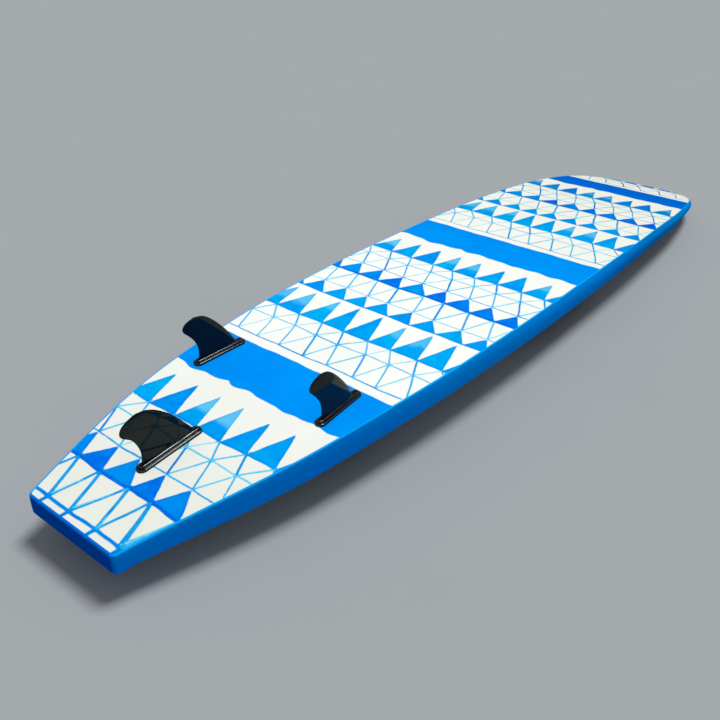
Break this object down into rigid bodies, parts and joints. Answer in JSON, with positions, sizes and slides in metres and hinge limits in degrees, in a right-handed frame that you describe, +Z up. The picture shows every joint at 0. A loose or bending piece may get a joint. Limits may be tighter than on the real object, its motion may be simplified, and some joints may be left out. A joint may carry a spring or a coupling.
{
  "type": "kiteboard",
  "caption": "Directional surf-style kiteboard lying deck down: printed bottom, foam rails, blunt nose, square tail, upright fins bolted on, footstraps underneath.",
  "frame": {"origin": "On the floor under the middle of the board's bounding box, with the board lying deck down on its footstraps", "axes": "+X along the board towards the blunt nose, +Y across towards the rail that is on the left when the board is seen fins up from the tail, +Z up, the way the fins stand"},
  "size_m": [2.1805, 0.4908, 0.209],
  "materials": {
    "printed_sheet": "gloss, printed in blues on white",
    "deck_laminate": "satin",
    "core_foam": "cellular foam",
    "stringer_wood": "sawn",
    "block_foam": "dense foam",
    "rail_foam": "satin closed-cell foam",
    "tail_foam": "satin closed-cell foam",
    "fin_nylon": "polished black",
    "brass": "machined",
    "black_plastic": "satin moulded",
    "stainless": "satin",
    "pad_foam": "grooved EVA",
    "strap_fabric": "neoprene and webbing",
    "cord": "braided",
    "seal_rubber": "matt"
  },
  "bodies": {
    "board": {"bottom_skin": "printed_sheet", "deck_skin": "deck_laminate", "core_left": "core_foam", "core_right": "core_foam", "stringer": "stringer_wood", "fin_block_centre": "block_foam", "fin_block_left": "block_foam", "fin_block_right": "block_foam", "rail_left": "rail_foam", "rail_right": "rail_foam", "nose_block": "rail_foam", "tail_block": "tail_foam", "fin_plugs": "black_plastic", "fin_bolts": "stainless", "pad_rear": "pad_foam", "pad_front": "pad_foam", "footstrap_rear": "strap_fabric", "footstrap_front_left": "strap_fabric", "footstrap_front_right": "strap_fabric", "strap_plates": "black_plastic", "strap_washers": "stainless", "strap_screws": "stainless", "deck_inserts": "brass", "leash_plug": "black_plastic", "leash_bar": "stainless", "vent_plug": "black_plastic", "vent_seal": "seal_rubber"},
    "fin_centre_body": {"fin_centre": "fin_nylon", "fin_inserts_centre": "brass"},
    "fin_left_body": {"fin_left": "fin_nylon", "fin_inserts_left": "brass"},
    "fin_right_body": {"fin_right": "fin_nylon", "fin_inserts_right": "brass"},
    "leash_loop_body": {"leash_loop": "cord"},
    "vent_screw_body": {"vent_screw": "black_plastic"}
  },
  "joints": [
    {"name": "fin_centre_lift", "type": "slide", "parent": "board", "child": "fin_centre_body", "axis": [-0.0942, 0, 0.9956], "range_m": [0, 0.08]},
    {"name": "fin_left_lift", "type": "slide", "parent": "board", "child": "fin_left_body", "axis": [-0.0404, 0.0024, 0.9992], "range_m": [0, 0.08]},
    {"name": "fin_right_lift", "type": "slide", "parent": "board", "child": "fin_right_body", "axis": [-0.0404, -0.0024, 0.9992], "range_m": [0, 0.08]},
    {"name": "leash_swing", "type": "hinge", "parent": "board", "child": "leash_loop_body", "pos_m": [-1.01651, 0, 0.05166], "axis": [0, 1, 0], "range_deg": [-50, 50]},
    {"name": "vent_turn", "type": "hinge", "parent": "board", "child": "vent_screw_body", "pos_m": [0.46975, 0, 0.0599], "axis": [-0.0166, 0, -0.9999], "continuous": true}
  ]
}
